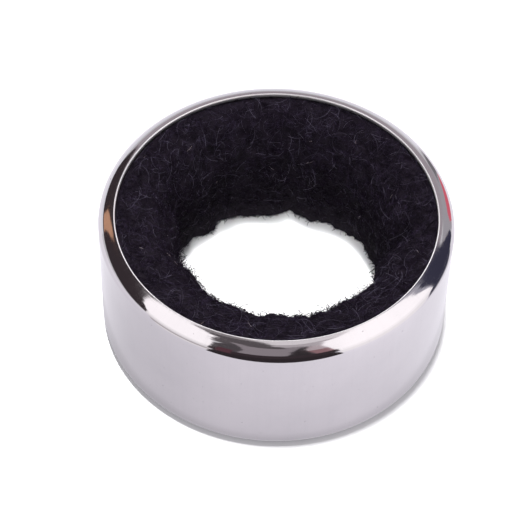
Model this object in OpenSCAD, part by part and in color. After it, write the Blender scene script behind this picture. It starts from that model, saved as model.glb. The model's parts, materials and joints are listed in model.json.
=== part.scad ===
// Bottle drip ring: a drawn steel shell with a lip turned in at both ends, lined with a
// strip of long pile fabric that grips the neck of a bottle and soaks up drips.
// Origin: centre of the lower face. +Z: the ring's own axis, upwards.

/* [Steel shell] */
// Outer diameter of the ring
ring_d = 42; // [42:0.5:46]
// Height of the ring
ring_h = 18; // [18:0.5:24]
// Thickness of the sheet that the shell is drawn from
sheet_t = 0.5; // [0.4:0.05:0.7]
// Outer radius of the rounded shoulder, the same at the top and at the bottom
shoulder_r = 1.6; // [1.2:0.1:1.6]
// Opening between the turned-in lips
mouth_d = 37.7; // [37:0.1:38]
// Chamfer on the outer corner of each lip's cut edge
lip_chamfer = 0.1; // [0.05:0.05:0.2]

/* [Liner strip] */
// Thickness of the adhesive film that holds the strip
film_t = 0.15; // [0.1:0.05:0.2]
// Thickness of the knitted backing
backing_t = 0.8; // [0.6:0.1:0.9]
// Width of the strip, which lies behind both lips
strip_w = 14.6; // [12:0.2:14.6]
// Gap where the two ends of the strip meet
butt_gap = 0.4; // [0.2:0.1:1]
// Direction of that gap about the axis, in degrees from +X
butt_angle = 83; // [0:1:359]

/* [Pile] */
// Diameter of the hole that the pile leaves open when nothing presses on it
pile_hole_d = 23.4; // [20:0.2:24.6]
// Radius of the pile's upper edge, where it leans over into the hole
pile_top_r = 7; // [4:0.5:7]
// Radius of the pile's lower edge
pile_low_r = 3; // [2:0.5:4]
// Gap between the pile and the inside of the sheet at each lip
pile_gap = 0.1; // [0.05:0.05:0.2]

/* [Hidden] */
$fn = 180;
ring_r = ring_d / 2;
mouth_r = mouth_d / 2;
wall_inner_r = ring_r - sheet_t;
backing_outer_r = wall_inner_r - film_t;
pile_root_r = backing_outer_r - backing_t;
pile_hole_r = pile_hole_d / 2;
pile_low_z = sheet_t + pile_gap;
pile_top_z = ring_h - sheet_t - pile_gap;
strip_low_z = (ring_h - strip_w) / 2;
cut_over = 1;

// A rectangle given by two opposite corners, as [radius, height].
module block(low, high) {
    translate(low)
        square(high - low);
}

// A solid puck whose two outer edges are rounded.
module puck(outer_r, low_z, high_z, edge_r) {
    rotate_extrude() {
        block([0, low_z], [outer_r - edge_r, high_z]);
        block([0, low_z + edge_r], [outer_r, high_z - edge_r]);
        for (z = [low_z + edge_r, high_z - edge_r])
            translate([outer_r - edge_r, z])
                circle(r = edge_r);
    }
}

// Cutter for the opening in the upper lip, with the corner of its cut edge taken off.
module mouth_cut() {
    translate([0, 0, ring_h / 2])
        cylinder(h = ring_h, r = mouth_r);
    translate([0, 0, ring_h - lip_chamfer])
        cylinder(h = 2 * lip_chamfer, r1 = mouth_r, r2 = mouth_r + 2 * lip_chamfer);
}

// Half section of the pile: a deep soft edge above, a straight wall, and a small edge below.
module pile_section() {
    top_centre = [pile_hole_r + pile_top_r, pile_top_z - pile_top_r];
    low_centre = [pile_hole_r + pile_low_r, pile_low_z + pile_low_r];
    block([top_centre.x, pile_low_z], [pile_root_r, pile_top_z]);
    block([low_centre.x, pile_low_z], [top_centre.x, top_centre.y]);
    block([pile_hole_r, low_centre.y], [low_centre.x, top_centre.y]);
    intersection() {
        translate(top_centre)
            circle(r = pile_top_r);
        block([pile_hole_r - cut_over, top_centre.y], [top_centre.x, pile_top_z]);
    }
    intersection() {
        translate(low_centre)
            circle(r = pile_low_r);
        block([pile_hole_r - cut_over, pile_low_z], low_centre);
    }
}

// Drawn and polished sheet, one piece, with both ends turned in.
module steel_shell() {
    color("silver")
        difference() {
            puck(ring_r, 0, ring_h, shoulder_r);
            puck(wall_inner_r, sheet_t, ring_h - sheet_t, shoulder_r - sheet_t);
            mouth_cut();
            translate([0, 0, ring_h])
                mirror([0, 0, 1])
                    mouth_cut();
        }
}

// Double-sided adhesive film between the shell's wall and the strip.
module adhesive_film() {
    color("wheat")
        rotate_extrude()
            block([backing_outer_r, strip_low_z], [wall_inner_r, strip_low_z + strip_w]);
}

// Knitted backing of the strip, bent round until its two ends meet.
module liner_backing() {
    color([0.15, 0.15, 0.17])
        difference() {
            rotate_extrude()
                block([pile_root_r, strip_low_z], [backing_outer_r, strip_low_z + strip_w]);
            rotate([0, 0, butt_angle])
                translate([0, -butt_gap / 2, 0])
                    cube([ring_d, butt_gap, ring_h]);
        }
}

// The pile as one soft solid: the space that its fibres fill.
module pile_lining() {
    color([0.08, 0.08, 0.09])
        rotate_extrude()
            pile_section();
}

steel_shell();
adhesive_film();
liner_backing();
pile_lining();
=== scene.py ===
"""Bottle drip ring: a polished steel shell with a thick black pile lining."""
import json
import math

import bpy
from mathutils import Matrix, Vector, noise


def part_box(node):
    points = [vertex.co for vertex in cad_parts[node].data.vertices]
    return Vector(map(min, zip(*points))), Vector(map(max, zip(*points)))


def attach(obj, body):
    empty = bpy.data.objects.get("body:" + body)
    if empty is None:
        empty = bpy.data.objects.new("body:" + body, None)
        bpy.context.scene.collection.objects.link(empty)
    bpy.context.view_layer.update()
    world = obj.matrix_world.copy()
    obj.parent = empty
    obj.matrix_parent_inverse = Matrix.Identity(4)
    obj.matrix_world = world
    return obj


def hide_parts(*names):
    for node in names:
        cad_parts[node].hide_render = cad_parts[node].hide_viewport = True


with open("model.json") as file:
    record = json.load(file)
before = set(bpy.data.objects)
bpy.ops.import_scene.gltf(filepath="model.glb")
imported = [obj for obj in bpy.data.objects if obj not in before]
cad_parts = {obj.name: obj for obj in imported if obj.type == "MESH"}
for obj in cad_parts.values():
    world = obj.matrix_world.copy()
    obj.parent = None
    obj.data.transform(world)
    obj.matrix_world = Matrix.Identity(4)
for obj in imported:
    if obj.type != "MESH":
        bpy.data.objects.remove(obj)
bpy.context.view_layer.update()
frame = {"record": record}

# ---------------------------------------------------------------- sizes, in metres
MM = 0.001
RING_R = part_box("steel_shell")[1][0]
RING_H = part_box("steel_shell")[1][2]
SHEET = 0.5 * MM
SHOULDER_R = 1.6 * MM
MOUTH_R = 18.85 * MM
LIP_R = MOUTH_R + 0.12 * MM
LIP_ROUND = 0.15 * MM
LIP_LAND = 0.04 * MM
PILE_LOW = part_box("pile_lining")[0][2]
PILE_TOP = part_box("pile_lining")[1][2]
PILE_ROOT_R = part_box("pile_lining")[1][0]
NECK_BORE = next(m for m in frame["record"]["mounts"] if m["name"] == "neck_bore")
PILE_HOLE_R = NECK_BORE["dims"]["r_mm"] * MM


# ---------------------------------------------------------------- node building
class Wire:
    """A node's output, with arithmetic that adds Math or Vector Math nodes to its tree."""

    def __init__(self, graph, socket):
        self.graph = graph
        self.socket = socket

    @property
    def is_vector(self):
        return self.socket.type == "VECTOR"

    def __add__(self, other):
        return self.graph.maths("ADD", self, other)

    def __radd__(self, other):
        return self.graph.maths("ADD", other, self)

    def __sub__(self, other):
        return self.graph.maths("SUBTRACT", self, other)

    def __rsub__(self, other):
        return self.graph.maths("SUBTRACT", other, self)

    def __mul__(self, other):
        return self.graph.product(self, other)

    def __rmul__(self, other):
        return self.graph.product(self, other)

    def __truediv__(self, other):
        return self.graph.maths("DIVIDE", self, other)

    def __rtruediv__(self, other):
        return self.graph.maths("DIVIDE", other, self)

    def __pow__(self, other):
        return self.graph.maths("POWER", self, other)


class Graph:
    """One node tree, built node by node."""

    def __init__(self, tree):
        self.tree = tree
        tree.nodes.clear()

    def node(self, kind, settings=None, inputs=None):
        """Adds a node, makes its settings, and then fills or links its inputs."""
        made = self.tree.nodes.new(kind)
        for name, value in (settings or {}).items():
            if name == "stops":
                set_stops(made.color_ramp, value)
            else:
                setattr(made, name, value)
        for name, value in (inputs or {}).items():
            self.feed(made.inputs[name], value)
        return made

    def wire(self, kind, settings=None, inputs=None, output=0):
        return Wire(self, self.node(kind, settings, inputs).outputs[output])

    def feed(self, socket, value):
        if isinstance(value, Wire):
            self.tree.links.new(value.socket, socket)
        else:
            socket.default_value = value

    def maths(self, operation, *terms):
        vector = any(isinstance(term, Wire) and term.is_vector for term in terms)
        kind = "ShaderNodeVectorMath" if vector else "ShaderNodeMath"
        made = self.node(kind, {"operation": operation}, dict(enumerate(terms)))
        return Wire(self, made.outputs[0])

    def product(self, first, second):
        second_is_vector = isinstance(second, Wire) and second.is_vector
        if first.is_vector and second_is_vector:
            return self.maths("MULTIPLY", first, second)
        if second_is_vector:
            first, second = second, first
        if not first.is_vector:
            return self.maths("MULTIPLY", first, second)
        inputs = {0: first, "Scale": second}
        return self.wire("ShaderNodeVectorMath", {"operation": "SCALE"}, inputs)

    def cross(self, first, second):
        return self.maths("CROSS_PRODUCT", first, second)

    def unit(self, vector):
        return self.maths("NORMALIZE", vector)

    def parts(self, vector):
        """The X, Y and Z of a vector."""
        made = self.node("ShaderNodeSeparateXYZ", None, {0: vector})
        return [Wire(self, socket) for socket in made.outputs]

    def vector(self, x, y, z):
        return self.wire("ShaderNodeCombineXYZ", None, {0: x, 1: y, 2: z})

    def mixed(self, factor, first, second):
        """A blend of two colours."""
        inputs = {0: factor, 6: first, 7: second}
        return self.wire("ShaderNodeMix", {"data_type": "RGBA"}, inputs, 2)

    def noise(self, vector, scale, detail=3.0, roughness=0.5):
        inputs = {"Vector": vector, "Scale": scale, "Detail": detail, "Roughness": roughness}
        return self.wire("ShaderNodeTexNoise", None, inputs)

    def ramp(self, value, stops):
        return self.wire("ShaderNodeValToRGB", {"stops": stops}, {0: value})


def set_stops(ramp, stops):
    """Gives a colour ramp its stops, each a place and a grey or a colour."""
    while len(ramp.elements) < len(stops):
        ramp.elements.new(0.5)
    for element, (place, shade) in zip(ramp.elements, stops):
        colour = (shade, shade, shade) if isinstance(shade, (int, float)) else shade
        element.position = place
        element.color = (*colour, 1.0)


# ---------------------------------------------------------------- geometry node helpers
def new_geometry_tree(name, inputs):
    """A geometry tree with named inputs, each a name, a socket type and a first value."""
    tree = bpy.data.node_groups.new(name, "GeometryNodeTree")
    face = tree.interface
    face.new_socket("Geometry", in_out="INPUT", socket_type="NodeSocketGeometry")
    face.new_socket("Geometry", in_out="OUTPUT", socket_type="NodeSocketGeometry")
    for label, kind, value in inputs:
        socket = face.new_socket(label, in_out="INPUT", socket_type=kind)
        if value is not None:
            socket.default_value = value
    graph = Graph(tree)
    entry = graph.node("NodeGroupInput")
    given = {socket.name: Wire(graph, socket) for socket in entry.outputs if socket.name}
    return graph, given


def end_geometry_tree(graph, geometry, material):
    """Realize Instances and Set Material, and then the tree's output."""
    real = graph.wire("GeometryNodeRealizeInstances", None, {0: geometry})
    painted = graph.wire("GeometryNodeSetMaterial", None, {"Geometry": real, "Material": material})
    graph.node("NodeGroupOutput", None, {0: painted})
    return graph.tree


def grown(name, base, tree, **values):
    """Runs a tree on a base mesh and returns the result as a plain mesh object."""
    carrier = base.copy()
    carrier.data = base.data.copy()
    bpy.context.collection.objects.link(carrier)
    modifier = carrier.modifiers.new("grow", "NODES")
    modifier.node_group = tree
    for item in tree.interface.items_tree:
        if item.in_out == "INPUT" and item.name in values:
            modifier[item.identifier] = values.pop(item.name)
    if values:
        raise ValueError(f"{tree.name} has no input named {list(values)}")
    graph = bpy.context.evaluated_depsgraph_get()
    mesh = bpy.data.meshes.new_from_object(carrier.evaluated_get(graph))
    bpy.data.objects.remove(carrier)
    mesh.name = name
    piece = bpy.data.objects.new(name, mesh)
    bpy.context.collection.objects.link(piece)
    return piece


def mesh_object(name, points, faces, material=None):
    mesh = bpy.data.meshes.new(name)
    mesh.from_pydata(points, [], faces)
    mesh.update()
    piece = bpy.data.objects.new(name, mesh)
    bpy.context.collection.objects.link(piece)
    if material:
        mesh.materials.append(material)
    return piece


# ---------------------------------------------------------------- materials
def new_surface(name):
    """A material's graph, with its Principled shader and its Object coordinates."""
    material = bpy.data.materials.new(name)
    material.use_nodes = True
    graph = Graph(material.node_tree)
    shader = graph.node("ShaderNodeBsdfPrincipled")
    surface = Wire(graph, shader.outputs[0])
    graph.node("ShaderNodeOutputMaterial", None, {"Surface": surface})
    place = graph.wire("ShaderNodeTexCoord", output="Object")
    return material, graph, shader, place


def bump(graph, height, distance, strength=1.0):
    inputs = {"Height": height, "Distance": distance, "Strength": strength}
    return graph.wire("ShaderNodeBump", None, inputs)


def polished_steel():
    """Mirror-polished stainless sheet, with faint turning lines, smudges and hairline marks, and a
    painted highlight on the lip's cut edge.
    """
    material, graph, shader, place = new_surface("polished_steel")
    x, y, z = graph.parts(place)
    radius = graph.maths("SQRT", x * x + y * y)
    angle = graph.maths("ARCTAN2", y, x)
    smudge = graph.noise(place, 90.0, 4.0, 0.6)
    wipe = graph.noise(graph.vector(angle * 1.2, radius * 300.0, z * 260.0), 3.0, 4.0, 0.6)
    lines = graph.noise(graph.vector(angle * 0.6, radius * 9000.0, z * 5000.0), 1.0, 3.0, 0.6)
    drawn = graph.noise(graph.vector(angle * 45.0, radius * 120.0, z * 60.0), 1.0, 4.0, 0.7)
    specks = graph.noise(place, 2400.0, 2.0, 0.5)
    clean, dull = (0.505, 0.483, 0.497, 1.0), (0.462, 0.444, 0.458, 1.0)
    shade = graph.mixed(graph.ramp(smudge, [(0.35, 0.0), (0.75, 1.0)]), clean, dull)
    streak = graph.ramp(drawn, [(0.45, 0.0), (0.8, 1.0)])
    shade = graph.mixed(streak * 0.08, shade, (0.37, 0.355, 0.37, 1.0))
    dust = graph.ramp(specks, [(0.74, 0.0), (0.78, 0.5)])
    shade = graph.mixed(dust, shade, (0.12, 0.11, 0.12, 1.0))
    # The lip's rounded cut edge is half metallic and rougher, and its colour holds a painted
    # highlight: near white on the far side and at the sides, grey on the near side.
    cut_edge = graph.ramp((radius - LIP_R) * 1000.0, [(0.10, 1.0), (0.17, 0.0)])
    sideways = graph.maths("ABSOLUTE", x) / radius
    highlight_side = graph.ramp(y / radius * 0.9 + sideways * 0.32, [(0.0, 0.0), (0.95, 1.0)])
    bright = graph.mixed(highlight_side, (0.97, 0.95, 0.96, 1.0), (0.50, 0.48, 0.49, 1.0))
    shade = graph.mixed(cut_edge, shade, bright)
    graph.feed(shader.inputs["Base Color"], shade)
    graph.feed(shader.inputs["Metallic"], 1.0 - cut_edge * 0.5)
    polish = 0.03 + smudge * 0.03 + wipe * 0.03 + streak * 0.06
    graph.feed(shader.inputs["Roughness"], polish + cut_edge * 0.28)
    graph.feed(shader.inputs["Normal"], bump(graph, lines, 0.0004 * MM))
    return material


def knit_backing():
    """Black knitted polyester, seen only where the pile parts."""
    material, graph, shader, place = new_surface("knit_backing")
    x, y, z = graph.parts(place)
    angle = graph.maths("ARCTAN2", y, x)
    wales = graph.maths("SINE", angle * 240.0)
    courses = graph.maths("SINE", z * (2 * math.pi / (0.6 * MM)))
    loops = wales * courses * 0.5 + 0.5
    shade = graph.mixed(loops, (0.006, 0.006, 0.007, 1.0), (0.026, 0.024, 0.028, 1.0))
    graph.feed(shader.inputs["Base Color"], shade)
    graph.feed(shader.inputs["Roughness"], 0.9 - loops * 0.15)
    graph.feed(shader.inputs["Normal"], bump(graph, loops, 0.08 * MM))
    return material


def adhesive():
    """Tacky cream-coloured film with small trapped bubbles."""
    material, graph, shader, place = new_surface("adhesive")
    cloud = graph.noise(place, 400.0, 3.0, 0.6)
    cells = graph.wire("ShaderNodeTexVoronoi", None, {"Vector": place, "Scale": 1500.0})
    bubble = graph.ramp(cells, [(0.12, 1.0), (0.2, 0.0)])
    shade = graph.mixed(cloud, (0.55, 0.47, 0.33, 1.0), (0.72, 0.66, 0.52, 1.0))
    graph.feed(shader.inputs["Base Color"], shade)
    graph.feed(shader.inputs["Roughness"], 0.3 + cloud * 0.2)
    graph.feed(shader.inputs["Normal"], bump(graph, bubble, 0.02 * MM))
    return material


def pile_fibre(name, dark, light, roughness, sheen):
    """Dyed fibre, its shade drifting from tuft to tuft."""
    material, graph, shader, place = new_surface(name)
    tuft = graph.noise(place, 700.0, 3.0, 0.6)
    spread = graph.ramp(tuft, [(0.3, 0.0), (0.7, 1.0)])
    graph.feed(shader.inputs["Base Color"], graph.mixed(spread, (*dark, 1.0), (*light, 1.0)))
    graph.feed(shader.inputs["Roughness"], roughness)
    graph.feed(shader.inputs["Specular IOR Level"], sheen)
    return material


def felted_core():
    """The matted depth of the pile, between and below the single fibres."""
    material, graph, shader, place = new_surface("pile_core")
    warp = graph.wire("ShaderNodeTexNoise", None, {"Vector": place, "Scale": 500.0}, 1)
    bent = place + warp * 0.0016
    hairs = graph.noise(bent, 2600.0, 5.0, 0.7)
    shade = graph.mixed(hairs, (0.002, 0.0015, 0.003, 1.0), (0.015, 0.011, 0.017, 1.0))
    graph.feed(shader.inputs["Base Color"], shade)
    graph.feed(shader.inputs["Roughness"], 0.95)
    graph.feed(shader.inputs["Specular IOR Level"], 0.15)
    graph.feed(shader.inputs["Normal"], bump(graph, hairs, 0.25 * MM))
    return material


# ---------------------------------------------------------------- steel shell
def arc(centre, width, height, start, end, steps):
    """Points along part of an ellipse, from the first angle to the last, both included."""
    turns = [math.radians(start + (end - start) * i / steps) for i in range(steps + 1)]
    return [(centre[0] + width * math.cos(a), centre[1] + height * math.sin(a)) for a in turns]


def run(first, last, steps):
    """Points strictly between two ends of a straight stretch."""
    return [
        tuple(a + (b - a) * i / steps for a, b in zip(first, last)) for i in range(1, steps)
    ]


def shell_section():
    """Closed outline of the drawn sheet, as radius and height, going round anticlockwise."""
    edge_r = LIP_R + LIP_ROUND
    crest_r = edge_r + LIP_LAND
    width = RING_R - crest_r
    inner_width = width - SHEET
    inner_height = SHOULDER_R - SHEET
    high, low = RING_H - SHOULDER_R, SHOULDER_R
    upper = arc((crest_r, high), width, SHOULDER_R, 0, 90, 36)
    upper_lip = arc((edge_r, RING_H - LIP_ROUND), LIP_ROUND, LIP_ROUND, 90, 180, 8)
    lower_lip = arc((edge_r, LIP_ROUND), LIP_ROUND, LIP_ROUND, 180, 270, 8)
    lower = arc((crest_r, low), width, SHOULDER_R, 270, 360, 36)
    inner_low = arc((crest_r, low), inner_width, inner_height, 360, 270, 8)
    inner_high = arc((crest_r, high), inner_width, inner_height, 90, 0, 8)
    return (
        upper
        + upper_lip
        + [(LIP_R, RING_H - SHEET)]
        + inner_high
        + inner_low
        + [(LIP_R, SHEET)]
        + lower_lip
        + lower
        + run(lower[-1], upper[0], 40)
    )


def turned_ring_tree():
    """Turns a closed section about Z: one row of the grid for each point of the section."""
    graph, given = new_geometry_tree("turned ring", [
        ("Steps", "NodeSocketInt", 360),
        ("Material", "NodeSocketMaterial", None),
    ])
    section, steps = given["Geometry"], given["Steps"]
    count = graph.wire("GeometryNodeAttributeDomainSize", None, {0: section})
    columns = steps + 1
    grid = graph.wire("GeometryNodeMeshGrid", None, {
        "Vertices X": count + 1,
        "Vertices Y": columns,
    })
    index = graph.wire("GeometryNodeInputIndex")
    row = graph.maths("FLOOR", (index + 0.5) / columns)
    column = index - row * columns
    at = graph.maths("MODULO", row, count)
    position = graph.wire("GeometryNodeInputPosition")
    outline = graph.wire(
        "GeometryNodeSampleIndex",
        {"data_type": "FLOAT_VECTOR", "domain": "POINT"},
        {"Geometry": section, "Value": position, "Index": at},
    )
    radius, _, height = graph.parts(outline)
    turn = column / steps * (2 * math.pi)
    place = graph.vector(
        radius * graph.maths("COSINE", turn),
        radius * graph.maths("SINE", turn),
        height,
    )
    placed = graph.wire("GeometryNodeSetPosition", None, {"Geometry": grid, "Position": place})
    closed = graph.wire("GeometryNodeMergeByDistance", None, {
        "Geometry": placed,
        "Distance": 0.001 * MM,
    })
    # The grid's faces come out looking inwards, so they are turned round.
    outward = graph.wire("GeometryNodeFlipFaces", None, {"Mesh": closed})
    smooth = graph.wire("GeometryNodeSetShadeSmooth", None, {"Geometry": outward})
    return end_geometry_tree(graph, smooth, given["Material"])


def make_shell(material):
    outline = [(r, 0.0, z) for r, z in shell_section()]
    section = mesh_object("shell_section", outline, [])
    shell = grown("steel_shell_polished", section, turned_ring_tree(), Steps=400,
                  Material=material)
    bpy.data.objects.remove(section)
    return shell


# ---------------------------------------------------------------- pile
# Where the pile leans into the hole or draws back from it: direction about the axis and
# half width, in degrees, and how far the hole's edge moves outwards.
TUFTS = [
    (-1, 5, 2.2 * MM),
    (0, 80, 0.9 * MM),
    (18, 14, 0.1 * MM),
    (52, 14, 0.5 * MM),
    (82, 6, 0.9 * MM),
    (106, 8, 0.4 * MM),
    (134, 30, 0.85 * MM),
    (154, 7, 0.7 * MM),
    (170, 10, -0.4 * MM),
    (186, 18, -0.6 * MM),
    (214, 14, -0.8 * MM),
    (240, 14, -0.2 * MM),
    (256, 6, 0.2 * MM),
    (266, 6, -0.4 * MM),
    (290, 16, 0.4 * MM),
    (308, 10, -0.3 * MM),
    (330, 14, 0.3 * MM),
    (345, 10, -0.5 * MM),
]
NEAR_LEAN = 1.35 * MM
BACK_LEAN = 0.95 * MM
FUZZ = 0.8 * MM
RAGGED = 0.30 * MM
# The matted core: how far it stays inside the pile's space, and the shape of its crown.
CORE_INSET = 0.2 * MM
ROOT_INSET = 0.1 * MM
CROWN_FLAT = 0.9 * MM
CROWN_H = 7.6 * MM
# The rounding of its low edge, and how much less of it there is at the back.
FOOT = 1.85 * MM
FOOT_LEAN = 1.5 * MM
# How far clumps, matting and sway move its surface.
CLUMP = 0.42 * MM
MATTING = 0.14 * MM
SWAY = 0.3 * MM


def hole_radius(angle):
    """The hole's radius in a direction, before the small raggedness."""
    back = math.sin(angle)
    radius = PILE_HOLE_R + FUZZ + (NEAR_LEAN if back < 0 else BACK_LEAN) * back
    for direction, half_width, reach in TUFTS:
        away = math.remainder(angle - math.radians(direction), 2 * math.pi)
        radius += reach * math.exp(-((away / math.radians(half_width)) ** 2))
    turn = Vector((math.cos(angle), math.sin(angle), 0.0))
    return radius + noise.fractal(turn * 7.0, 0.8, 2.0, 3) * RAGGED


def pile_section(hole, foot):
    """Closed outline of the matted pile, as radius and height, for a hole of this radius."""
    top = PILE_TOP - CORE_INSET
    low = PILE_LOW + CORE_INSET
    root = PILE_ROOT_R - ROOT_INSET
    crown_r = root - hole - CROWN_FLAT
    crown = [
        (hole + crown_r * (1 - math.sin(a)), top - CROWN_H * (1 - math.cos(a)))
        for a in (math.radians(90 * i / 46) for i in range(47))
    ]
    toe = [
        (hole + foot * (1 - math.cos(a)), low + foot * (1 - math.sin(a)))
        for a in (math.radians(90 * i / 20) for i in range(21))
    ]
    return (
        crown
        + run(crown[-1], toe[0], 24)
        + toe
        + run(toe[-1], (root, low), 26)
        + [(root, low)]
        + run((root, low), (root, top), 8)
        + [(root, top)]
        + run((root, top), crown[0], 3)
    )


def make_pile_core(material):
    """The matted body of the pile: a ragged ring, clumped and hollowed all over."""
    turns = 440
    rows = len(pile_section(PILE_HOLE_R, FOOT))
    points = []
    for i in range(turns):
        angle = 2 * math.pi * i / turns
        out = Vector((math.cos(angle), math.sin(angle), 0.0))
        foot = FOOT - FOOT_LEAN * math.sin(angle)
        for r, z in pile_section(hole_radius(angle), foot):
            at = out * r + Vector((0.0, 0.0, z))
            free = min(1.0, max(0.0, (MOUTH_R - 0.3 * MM - r) / (1.5 * MM)))
            clump = noise.fractal(at * 420.0, 0.9, 2.0, 2) * CLUMP
            matted = noise.fractal(at * 1500.0, 0.8, 2.0, 2) * MATTING
            sway = noise.noise_vector(at * 300.0) * SWAY
            inwards = -out * (clump + matted) * 0.8
            upright = 1.0 if z > RING_H / 2 else -1.0
            lift = Vector((0.0, 0.0, upright * (clump + matted) * 0.7))
            points.append(at + (inwards + lift + sway) * free)
    faces = []
    for i in range(turns):
        here, there = i * rows, (i + 1) % turns * rows
        for j in range(rows):
            k = (j + 1) % rows
            faces.append((here + j, there + j, there + k, here + k))
    core = mesh_object("pile_core", points, faces, material)
    core.data.shade_smooth()
    return core


# Strands: how deep they are rooted, and how far they stay from the lip, floor and top face.
ROOT_DEPTH = 0.12 * MM
LIP_CLEAR = 0.06 * MM
FLOOR_CLEAR = 0.15 * MM
TOP_REACH = 0.1 * MM
# They are shorter towards the hole, between these radii.
SHORT_R, FULL_R = 12.6 * MM, 15.0 * MM
# They are cropped low on the back wall: by this part, as far back and as high up as this.
CROP = 0.55
CROP_BACK = 6.0 * MM
CROP_LOW, CROP_HIGH = 2 * MM, 4 * MM


def strand_tree():
    """Curly fibres rooted all over a surface, each a thin closed tube of three sides."""
    graph, given = new_geometry_tree("strands", [
        ("Density", "NodeSocketFloat", 1.0e6),
        ("Shortest", "NodeSocketFloat", 1.5 * MM),
        ("Longest", "NodeSocketFloat", 3.0 * MM),
        ("Thickness", "NodeSocketFloat", 0.05 * MM),
        ("Curl", "NodeSocketFloat", 3.0),
        ("Lift", "NodeSocketFloat", 0.2),
        ("Loop", "NodeSocketFloat", 0.15),
        ("Points", "NodeSocketInt", 6),
        ("Reach", "NodeSocketFloat", MOUTH_R),
        ("Trim", "NodeSocketFloat", 0.5),
        ("Seed", "NodeSocketInt", 1),
        ("Material", "NodeSocketMaterial", None),
    ])
    seed = given["Seed"]

    def chance(low, high, salt):
        """A random number for each strand."""
        made = graph.node("FunctionNodeRandomValue", {"data_type": "FLOAT"}, {
            2: low,
            3: high,
            8: seed * 31 + salt,
        })
        return Wire(graph, made.outputs[1])

    def kept(geometry, name, value, kind="FLOAT"):
        """Stores a value on the points, so that the strand can read it later."""
        return graph.wire("GeometryNodeStoreNamedAttribute", {"data_type": kind}, {
            "Geometry": geometry,
            "Name": name,
            "Value": value,
        })

    def read(name, kind="FLOAT"):
        return graph.wire("GeometryNodeInputNamedAttribute", {"data_type": kind}, {0: name})

    def changing(value, start, end, first, last):
        """A value that goes from first to last as another goes from start to end."""
        return graph.wire("ShaderNodeMapRange", None, {
            "Value": value,
            "From Min": start,
            "From Max": end,
            "To Min": first,
            "To Max": last,
        })

    position = graph.wire("GeometryNodeInputPosition")
    x, y, height = graph.parts(position)
    radius = graph.maths("SQRT", x * x + y * y)
    near = graph.wire("FunctionNodeCompare", {"operation": "LESS_THAN"}, {
        0: radius,
        1: given["Reach"],
    })
    scatter = graph.node("GeometryNodeDistributePointsOnFaces", None, {
        "Mesh": given["Geometry"],
        "Selection": near,
        "Density": given["Density"],
        "Seed": seed,
    })
    roots = Wire(graph, scatter.outputs["Points"])
    normal = Wire(graph, scatter.outputs["Normal"])
    spin = graph.vector(chance(-1.0, 1.0, 1), chance(-1.0, 1.0, 2), chance(-1.0, 1.0, 3))
    along = graph.unit(graph.cross(normal, spin))
    roots = kept(roots, "root", position - normal * ROOT_DEPTH, "FLOAT_VECTOR")
    roots = kept(roots, "up", normal, "FLOAT_VECTOR")
    roots = kept(roots, "along", along, "FLOAT_VECTOR")
    roots = kept(roots, "aside", graph.cross(normal, along), "FLOAT_VECTOR")
    inside = changing(radius, SHORT_R, FULL_R, given["Trim"], 1.0)
    back = changing(y, 0.0, CROP_BACK, 0.0, 1.0)
    back_foot = back * changing(height, CROP_LOW, CROP_HIGH, 1.0, 0.0)
    cropped = 1.0 - back_foot * CROP
    length = chance(given["Shortest"], given["Longest"], 4) * inside * cropped
    roots = kept(roots, "length", length)
    side = graph.maths("SIGN", chance(-1.0, 1.0, 5))
    roots = kept(roots, "curl", given["Curl"] * chance(0.15, 1.0, 6) * side)
    roots = kept(roots, "lift", given["Lift"] * chance(0.0, 1.0, 7))
    roots = kept(roots, "loop", given["Loop"] * chance(0.2, 1.0, 8))

    line = graph.wire("GeometryNodeCurvePrimitiveLine", None, {"End": (0.0, 0.0, 1.0)})
    line = graph.wire("GeometryNodeResampleCurve", None, {
        "Curve": line,
        "Count": given["Points"],
    })
    strands = graph.wire("GeometryNodeInstanceOnPoints", None, {
        "Points": roots,
        "Instance": line,
    })
    strands = graph.wire("GeometryNodeRealizeInstances", None, {0: strands})

    part = graph.wire("GeometryNodeSplineParameter")
    length, curl = read("length"), read("curl")
    forwards = graph.maths("SINE", part * curl) / curl
    sideways = (1.0 - graph.maths("COSINE", part * curl)) / curl
    rise = part * read("lift") + graph.maths("SINE", part * math.pi) * read("loop")
    shape = (
        read("along", "FLOAT_VECTOR") * forwards
        + read("aside", "FLOAT_VECTOR") * sideways
        + read("up", "FLOAT_VECTOR") * rise
    )
    x, y, z = graph.parts(read("root", "FLOAT_VECTOR") + shape * length)
    reach = graph.maths("SQRT", x * x + y * y)
    pull = graph.maths("MINIMUM", (MOUTH_R - LIP_CLEAR) / reach, 1.0)
    z = graph.maths("MINIMUM", graph.maths("MAXIMUM", z, FLOOR_CLEAR), RING_H + TOP_REACH)
    strands = graph.wire("GeometryNodeSetPosition", None, {
        "Geometry": strands,
        "Position": graph.vector(x * pull, y * pull, z),
    })
    ring = graph.wire("GeometryNodeCurvePrimitiveCircle", None, {
        "Resolution": 3,
        "Radius": given["Thickness"] / 2,
    })
    tubes = graph.wire("GeometryNodeCurveToMesh", None, {
        "Curve": strands,
        "Profile Curve": ring,
        "Fill Caps": True,
    })
    tubes = graph.wire("GeometryNodeSetShadeSmooth", None, {"Geometry": tubes})
    return end_geometry_tree(graph, tubes, given["Material"])


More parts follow.
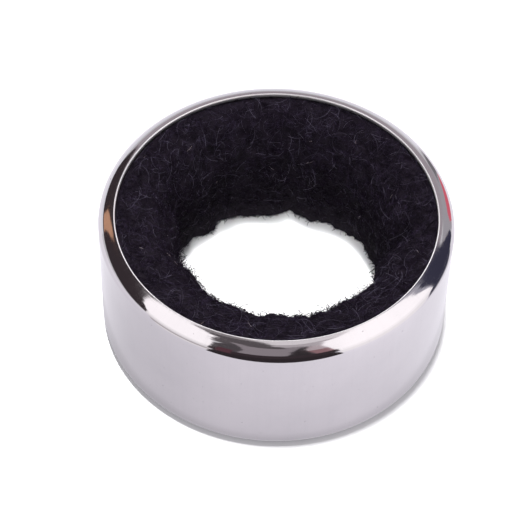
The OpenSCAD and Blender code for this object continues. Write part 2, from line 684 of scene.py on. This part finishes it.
# Each layer of fibres: its finish, how many copies of it, and what its strands are like.
FIBRE_LAYERS = {
    "pile_fibres": dict(
        finish="pile_black", copies=3, Density=2.48e6, Shortest=1.0 * MM, Longest=2.4 * MM,
        Thickness=0.055 * MM, Curl=3.4, Lift=0.16, Loop=0.08, Points=6),
    "pile_fine_fibres": dict(
        finish="pile_charcoal", copies=3, Density=3.0e6, Shortest=0.6 * MM,
        Longest=1.8 * MM, Thickness=0.034 * MM, Curl=3.8, Lift=0.26, Loop=0.12, Points=5),
    "pile_long_fibres": dict(
        finish="pile_grey", copies=1, Density=2.1e6, Shortest=0.9 * MM, Longest=2.9 * MM,
        Thickness=0.030 * MM, Curl=2.6, Lift=0.15, Loop=0.05, Points=7),
    "pile_bright_fibres": dict(
        finish="pile_soot", copies=1, Density=6.5e5, Shortest=0.7 * MM, Longest=3.2 * MM,
        Thickness=0.029 * MM, Curl=2.2, Lift=0.16, Loop=0.05, Points=9),
    "pile_wisps": dict(
        finish="pile_soot", copies=1, Density=7.0e4, Shortest=1.6 * MM, Longest=4.4 * MM,
        Thickness=0.025 * MM, Curl=2.4, Lift=0.22, Loop=0.06, Points=13),
    "pile_fringe": dict(
        finish="pile_black", copies=1, Density=4.6e6, Shortest=0.5 * MM,
        Longest=1.9 * MM, Thickness=0.055 * MM, Curl=2.8, Lift=0.85, Loop=0.15, Points=6,
        Reach=14.4 * MM, Trim=0.8),
}
PALE_STRAYS = dict(
    Seed=31, Density=2.1e4, Shortest=0.3 * MM, Longest=1.7 * MM, Thickness=0.028 * MM,
    Curl=1.8, Lift=0.3, Loop=0.1, Points=8)


def make_pile(core_material, fibre_materials, pale_material):
    """The matted core and every layer of fibres on it."""
    core = make_pile_core(core_material)
    tree = strand_tree()
    pieces = [core]
    seed = 1
    for name, layer in FIBRE_LAYERS.items():
        look = dict(layer)
        material = fibre_materials[look.pop("finish")]
        copies = look.pop("copies")
        for i in range(copies):
            label = f"{name}_{i + 1}" if copies > 1 else name
            pieces.append(grown(label, core, tree, Seed=seed, Material=material, **look))
            seed += 1
    pieces.append(grown("pale_stray_fibres", core, tree, Material=pale_material, **PALE_STRAYS))
    return pieces


# ---------------------------------------------------------------- studio
def glow(name, colour, strength=1.0):
    material = bpy.data.materials.new(name)
    material.use_nodes = True
    graph = Graph(material.node_tree)
    light = graph.wire("ShaderNodeEmission", None, {
        "Color": (*colour, 1.0),
        "Strength": strength,
    })
    graph.node("ShaderNodeOutputMaterial", None, {"Surface": light})
    return material


FLOOR_HALF = 3.0
MIRRORED_HALF = 0.6
BACKDROP_HALF = 1.0


def square(name, half, height, material):
    """A level square sheet, centred on the axis."""
    corners = [(-half, -half), (half, -half), (half, half), (-half, half)]
    return mesh_object(name, [(x, y, height) for x, y in corners], [(0, 1, 2, 3)], material)


def only_mirrored(piece):
    """A studio card that shows in polished metal and neither lights nor hides anything."""
    piece.visible_camera = False
    piece.visible_diffuse = False
    piece.visible_shadow = False
    piece.visible_transmission = False


CARD_DISTANCE = 0.4
MIRROR_CENTRE = Vector((0.0, 0.0, RING_H))


def along(directions, part):
    """A direction part of the way along a chain of directions."""
    place = part * (len(directions) - 1)
    i = min(int(place), len(directions) - 2)
    return [a + (b - a) * (place - i) for a, b in zip(directions[i], directions[i + 1])]


def card_point(azimuth, height, nearer):
    """A place on the dome of cards."""
    aim = Vector((
        math.cos(height) * math.cos(azimuth),
        math.cos(height) * math.sin(azimuth),
        math.sin(height),
    ))
    return MIRROR_CENTRE + aim * (CARD_DISTANCE - nearer)


def mat_point(azimuth, height, nearer):
    """A place on the floor, met by what the ring's shoulder mirrors in a direction."""
    turn = (azimuth - math.pi / 2) / 2
    foot = Vector((math.cos(turn), math.sin(turn), 0.0)) * 20 * MM
    reach = 17 * MM / math.tan(-height)
    away = Vector((math.cos(azimuth), math.sin(azimuth), 0.0)) * reach
    return foot + away + Vector((0.0, 0.0, 0.3 * MM + nearer))


def card(name, edge_a, edge_b, colour, strength=1.0, nearer=0.0, place=card_point, steps=24):
    """A curved card between two chains of directions, each an azimuth and an elevation."""
    points = []
    for i in range(steps + 1):
        ends = along(edge_a, i / steps), along(edge_b, i / steps)
        for j in range(steps + 1):
            azimuth, height = (math.radians(a + (b - a) * j / steps) for a, b in zip(*ends))
            points.append(place(azimuth, height, nearer))
    row = steps + 1
    faces = [
        (i * row + j, i * row + j + 1, (i + 1) * row + j + 1, (i + 1) * row + j)
        for i in range(steps)
        for j in range(steps)
    ]
    only_mirrored(mesh_object(name, points, faces, glow(name, colour, strength)))


def mat(name, azimuth_a, azimuth_b, low, high, colour, strength=1.0, nearer=0.0):
    """A card lying on the floor, between two azimuths and two elevations below the horizon."""
    card(name, [(azimuth_a, low), (azimuth_b, low)], [(azimuth_a, high), (azimuth_b, high)],
         colour, strength, nearer, mat_point)


def box(name, azimuth_a, azimuth_b, low, high, colour, strength=1.0, nearer=0.0):
    """A card between two azimuths and two elevations."""
    card(name, [(azimuth_a, low), (azimuth_b, low)], [(azimuth_a, high), (azimuth_b, high)],
         colour, strength, nearer)


WHITE = (1.0, 0.975, 0.985)
BROWN_DARK = (0.065, 0.050, 0.056)
NAVY_DARK = (0.062, 0.062, 0.105)
FRONT_DARK = (0.070, 0.052, 0.060)


def mirrored_floor():
    """The floor as the steel mirrors it, a glowing sheet: a painted shadow makes it dimmer close
    to the ring, and painted light makes it dimmer towards the left.
    """
    material = bpy.data.materials.new("mirrored_floor")
    material.use_nodes = True
    graph = Graph(material.node_tree)
    x, y, _ = graph.parts(graph.wire("ShaderNodeTexCoord", output="Object"))
    radius = graph.maths("SQRT", x * x + y * y)
    # Painted shadow: the glow falls off close to the ring's foot.
    stops = [(0.205, 0.56), (0.220, 0.66), (0.227, 0.79), (0.235, 0.82), (0.35, 1.0),
             (0.5, 1.03), (1.0, 1.1)]
    near = graph.ramp(radius * 10.0, [(place, shade / 1.1) for place, shade in stops])
    # Painted light: the glow is brighter towards the right, and changes a little behind the ring.
    side = x / radius
    behind = graph.ramp(y / radius * 0.5 + 0.5, [(0.28, 0.0), (0.62, 1.0)])
    level = 1.43 + side * 0.19 - side * side * 0.045
    strength = near * level * (1.0 - behind * side * 0.14)
    light = graph.wire("ShaderNodeEmission", None, {
        "Color": (1.025, 1.0, 1.075, 1.0),
        "Strength": strength,
    })
    graph.node("ShaderNodeOutputMaterial", None, {"Surface": light})
    only_mirrored(square("mirrored_floor", MIRRORED_HALF, 0.2 * MM, material))


def make_floor():
    """The pale floor that the ring stands on."""
    floor_mat, graph, shader, place = new_surface("pale_floor")
    grain = graph.noise(place, 300.0, 3.0, 0.5)
    shade = graph.mixed(grain, (0.86, 0.86, 0.87, 1.0), (0.88, 0.88, 0.885, 1.0))
    graph.feed(shader.inputs["Base Color"], shade)
    graph.feed(shader.inputs["Roughness"], 0.8)
    graph.feed(shader.inputs["Specular IOR Level"], 0.1)
    square("floor", FLOOR_HALF, 0.0, floor_mat)


def make_cards():
    """Pale surroundings, and the soft boxes and dark gaps that steel mirrors."""
    box("pale_surround", -180, 180, -4, 90, (0.97, 0.97, 1.0), 1.0, -0.05)
    box("dark_ceiling_left", 90, 270, 60, 90, (0.17, 0.15, 0.16), 1.0, -0.02)
    box("grey_ceiling_right", -90, 90, 60, 90, (0.80, 0.74, 0.77), 1.0, -0.02)
    box("grey_gap_right", 56, 92, 50, 82, (1.25, 1.20, 1.22), 1.0, -0.01)
    box("grey_gap_left", 92, 125, 50, 68, (0.42, 0.39, 0.40), 1.0, -0.01)
    card("soft_box_left",
         [(-161, -8), (-162, 17), (-168, 30), (-180, 46), (-195, 55), (-210, 59.5),
          (-230, 61), (-252, 57.5), (-265, 52)],
         [(-123, -8), (-123, 15), (-126, 40), (-131, 53), (-145, 67), (-170, 75.5),
          (-205, 78), (-240, 71), (-265, 56)],
         WHITE, 2.0)
    card("soft_box_right",
         [(-53, -22), (-56, 8), (-58, 30), (-55, 50), (-50, 64), (-38, 72), (-15, 77),
          (20, 79), (45, 74.5), (62, 69), (76, 61), (87, 52)],
         [(7, -22), (4, -5), (5, 12), (8, 27), (12, 36), (20, 46), (28, 51), (36, 54),
          (48, 55), (60, 55), (72, 53), (87, 50)],
         WHITE, 2.0)
    box("soft_box_left_dim", -162.5, -123, 2, 15, WHITE, 1.72, 0.004)
    box("soft_box_left_dimmer", -161.5, -123, -6, 4, WHITE, 1.42, 0.006)
    mat("soft_box_left_low", -161, -123, -8, -2.5, WHITE, 1.2)
    mat("gap_left", -161, -124, -18, -8, (0.80, 0.75, 0.77))
    mat("soft_box_left_end", -159, -124, -27, -18, WHITE, 1.45)
    box("soft_box_right_dim", -54, 4.5, -6, 12, WHITE, 1.84, 0.004)
    mat("soft_box_right_low", -54, 4, -26, -2.5, WHITE, 1.62)
    card("dark_left",
         [(95, 52), (107, 57.5), (130, 61), (150, 59.5), (165, 55), (180, 46), (192, 30),
          (198, 17), (199, 3)],
         [(95, 50.5), (101, 46), (110, 34), (118, 22), (124, 14), (137, 12), (160, 10),
          (178, 6), (186, 2)],
         BROWN_DARK, 1.0, 0.02)
    card("tan_left",
         [(112, 49.6), (123, 48.5), (134, 43.5), (143, 32), (150, 16)],
         [(112, 48.6), (119, 46.0), (128, 38), (137, 27), (142, 16)],
         (0.90, 0.50, 0.32), 1.0, 0.04)
    card("dark_right",
         [(6, -16), (4, -5), (5, 12), (8, 27), (13, 38), (22, 48), (36, 54), (60, 55.5),
          (86, 51.5)],
         [(29, -16), (31, -5), (34, 10), (36, 25), (40, 36), (46, 42), (52, 46),
          (64, 49.5), (86, 50.5)],
         NAVY_DARK, 1.0, 0.02)
    card("haze_right",
         [(4, -5), (4, 12), (6.5, 29), (11, 41), (20, 51), (36, 56.5), (60, 58), (86, 53)],
         [(8, -5), (9, 12), (12, 27), (17, 38), (26, 48), (38, 52), (60, 53), (86, 51)],
         (0.62, 0.61, 0.70), 1.0, 0.018)
    mat("dark_right_low", 5, 30, -18, -3, NAVY_DARK, 1.0, 0.1 * MM)
    mat("grey_right_low", 7, 30, -27, -18, (0.34, 0.33, 0.38), 1.0, 0.1 * MM)
    box("grey_right_back", 34, 62, -22, 44, (0.62, 0.60, 0.64), 1.0, 0.005)
    box("grey_back", 62, 126, 27, 51, (0.60, 0.54, 0.58), 1.0, 0.005)
    box("pale_back", 63, 152, -4, 17, (1.30, 1.31, 1.40), 1.0, 0.003)
    box("dark_streak_back", 55, 61, -12, 22, (0.30, 0.29, 0.31), 1.0, 0.01)
    card("red_right",
         [(43, -20), (38, -10), (37, 3), (38, 12), (43, 21)],
         [(56, -20), (55, -10), (54, 3), (52, 12), (48, 21)],
         (1.10, 0.22, 0.30), 1.0, 0.03)
    box("dim_front", -128, -45, 15, 76, (0.13, 0.115, 0.125), 1.0, -0.01)
    card("grey_front",
         [(-109, 20), (-108, 45), (-114, 60), (-125, 70), (-150, 78)],
         [(-80, 20), (-80, 45), (-72, 62), (-62, 72), (-40, 80)],
         (0.46, 0.41, 0.44))
    card("dark_wedge_front", [(-83, 18), (-79, 40), (-72, 62), (-62, 72)],
         [(-69, 18), (-70, 40), (-67, 58), (-58, 70)], (0.06, 0.05, 0.055), 1.0, 0.004)
    card("dark_front_above", [(-126, 74), (-122, 86)], [(-78, 70), (-70, 84)],
         (0.17, 0.15, 0.16), 1.0, 0.005)
    card("rosy_front", [(-67, 14), (-69, 46)], [(-54, 14), (-54, 46)], (0.50, 0.29, 0.31),
         1.0, -0.005)
    card("rosy_front_above", [(-69, 46), (-66, 60), (-52, 74)],
         [(-54, 46), (-50, 60), (-40, 74)], (0.82, 0.70, 0.73), 1.0, -0.005)
    box("dark_front", -124, -56, -12, 18, FRONT_DARK, 1.0, 0.01)
    box("red_front_left", -120, -112, -8, 30, (0.16, 0.07, 0.09), 1.0, 0.015)
    mirrored_floor()
    front = mesh_object(
        "dark_front_edge",
        [(-0.020, -0.0346, 0.6 * MM), (-0.25, -0.42, 0.6 * MM),
         (0.26, -0.42, 0.6 * MM), (0.021, -0.0346, 0.6 * MM)],
        [(0, 1, 2, 3)],
        glow("dark_front_edge", (0.05, 0.04, 0.045)),
    )
    only_mirrored(front)


def make_backdrop():
    """White walls behind everything, seen only by the camera."""
    half = BACKDROP_HALF
    corners = [(-half, -half), (half, -half), (half, half), (-half, half)]
    backdrop = mesh_object(
        "backdrop",
        [(x, y, z) for z in (-half, half) for x, y in corners],
        [(i, (i + 1) % 4, (i + 1) % 4 + 4, i + 4) for i in range(4)],
        glow("backdrop", (1.0, 1.0, 1.0)),
    )
    backdrop.visible_diffuse = False
    backdrop.visible_glossy = False
    backdrop.visible_shadow = False
    backdrop.visible_transmission = False


def make_room_light():
    """The faint even light of a pale room."""
    world = bpy.data.worlds.new("pale_room")
    world.use_nodes = True
    graph = Graph(world.node_tree)
    light = graph.wire("ShaderNodeBackground", None, {
        "Color": (0.93, 0.93, 0.97, 1.0),
        "Strength": 0.56,
    })
    graph.node("ShaderNodeOutputWorld", None, {"Surface": light})
    bpy.context.scene.world = world


def make_studio():
    """Floor, cards, backdrop, room light and lamps."""
    make_floor()
    make_cards()
    make_backdrop()
    make_room_light()
    add_spot("inside", (0.0, -0.05, 0.40), aim=(0.0, 2.5 * MM, 0.0), angle=3.3, power=5.0)
    add_spot("back_of_pile", (-0.04, -0.26, 0.38), aim=(0.0, 5 * MM, 11 * MM), angle=4.3,
             power=4.2)
    add_sun("key", (-0.030, 0.016, 1.0), angle=4.6, strength=4.3)
    add_light("fill", (-0.05, -0.24, 0.38), size=0.40, power=0.2)


def hang(name, data, along_line, at=(0.0, 0.0, 0.0)):
    """Hangs a lamp at a place, shining along a line, where steel does not mirror it."""
    lamp = bpy.data.objects.new(name, data)
    lamp.location = at
    lamp.rotation_euler = Vector(along_line).to_track_quat("-Z", "Y").to_euler()
    lamp.visible_glossy = False
    bpy.context.collection.objects.link(lamp)
    return lamp


def add_light(name, at, size, power):
    """A soft round lamp, aimed at the ring."""
    data = bpy.data.lights.new(name, "AREA")
    data.shape = "DISK"
    data.size = size
    data.energy = power
    hang(name, data, -Vector(at), at).visible_camera = False


def add_spot(name, at, aim, angle, power):
    """A narrow lamp that lights the inside of the ring and nothing outside it."""
    data = bpy.data.lights.new(name, "SPOT")
    data.spot_size = math.radians(angle)
    data.spot_blend = 0.25
    data.shadow_soft_size = 0.01
    data.energy = power
    hang(name, data, Vector(aim) - Vector(at), at)


def add_sun(name, direction, angle, strength):
    """A distant lamp, so that the shadow under the ring's edge stays narrow all round."""
    data = bpy.data.lights.new(name, "SUN")
    data.angle = math.radians(angle)
    data.energy = strength
    hang(name, data, -Vector(direction))


# Camera: how it looks down, its tilt, its distance along that line from the ring's base, and
# how far the base's centre lies to the right of the frame's middle and below it.
LOOK_DOWN = 50.44
TILT = 1.41
DISTANCE = 254.6 * MM
BASE_RIGHT = 2.27 * MM
BASE_BELOW = 6.30 * MM
LENS = 145.0


def make_camera():
    down = math.radians(LOOK_DOWN)
    tilt = math.radians(TILT)
    forwards = Vector((0.0, math.cos(down), -math.sin(down)))
    level = Vector((1.0, 0.0, 0.0))
    upright = Vector((0.0, math.sin(down), math.cos(down)))
    right = level * math.cos(tilt) + upright * math.sin(tilt)
    up = upright * math.cos(tilt) - level * math.sin(tilt)
    data = bpy.data.cameras.new("camera")
    data.lens = LENS
    data.sensor_width = 36.0
    data.clip_start = 0.01
    camera = bpy.data.objects.new("camera", data)
    place = up * BASE_BELOW - right * BASE_RIGHT - forwards * DISTANCE
    turned = Matrix((right, up, -forwards)).transposed().to_4x4()
    camera.matrix_world = Matrix.Translation(place) @ turned
    bpy.context.collection.objects.link(camera)
    bpy.context.scene.camera = camera


# ---------------------------------------------------------------- the object
def paint_node(name, material):
    """Gives a CAD piece that stays its finish."""
    for slot in bpy.data.objects[name].material_slots:
        slot.material = material


make_camera()
make_studio()
bpy.context.scene.view_settings.view_transform = "Standard"

shell = make_shell(polished_steel())
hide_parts("steel_shell")
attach(shell, "root")

paint_node("adhesive_film", adhesive())
paint_node("liner_backing", knit_backing())

fibres = {
    "pile_black": pile_fibre(
        "pile_black", (0.0022, 0.0010, 0.0032), (0.0062, 0.0034, 0.0084), 0.7, 0.10),
    "pile_charcoal": pile_fibre(
        "pile_charcoal", (0.0062, 0.0038, 0.0094), (0.026, 0.0178, 0.038), 0.6, 0.18),
    "pile_grey": pile_fibre(
        "pile_grey", (0.013, 0.009, 0.019), (0.054, 0.044, 0.075), 0.5, 0.25),
    "pile_soot": pile_fibre(
        "pile_soot", (0.029, 0.022, 0.040), (0.150, 0.134, 0.190), 0.45, 0.4),
}
pale = pile_fibre("pale_fibre", (0.26, 0.15, 0.16), (0.62, 0.58, 0.60), 0.5, 0.4)
pile = make_pile(felted_core(), fibres, pale)
for piece in pile:
    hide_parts("pile_lining")
    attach(piece, "root")
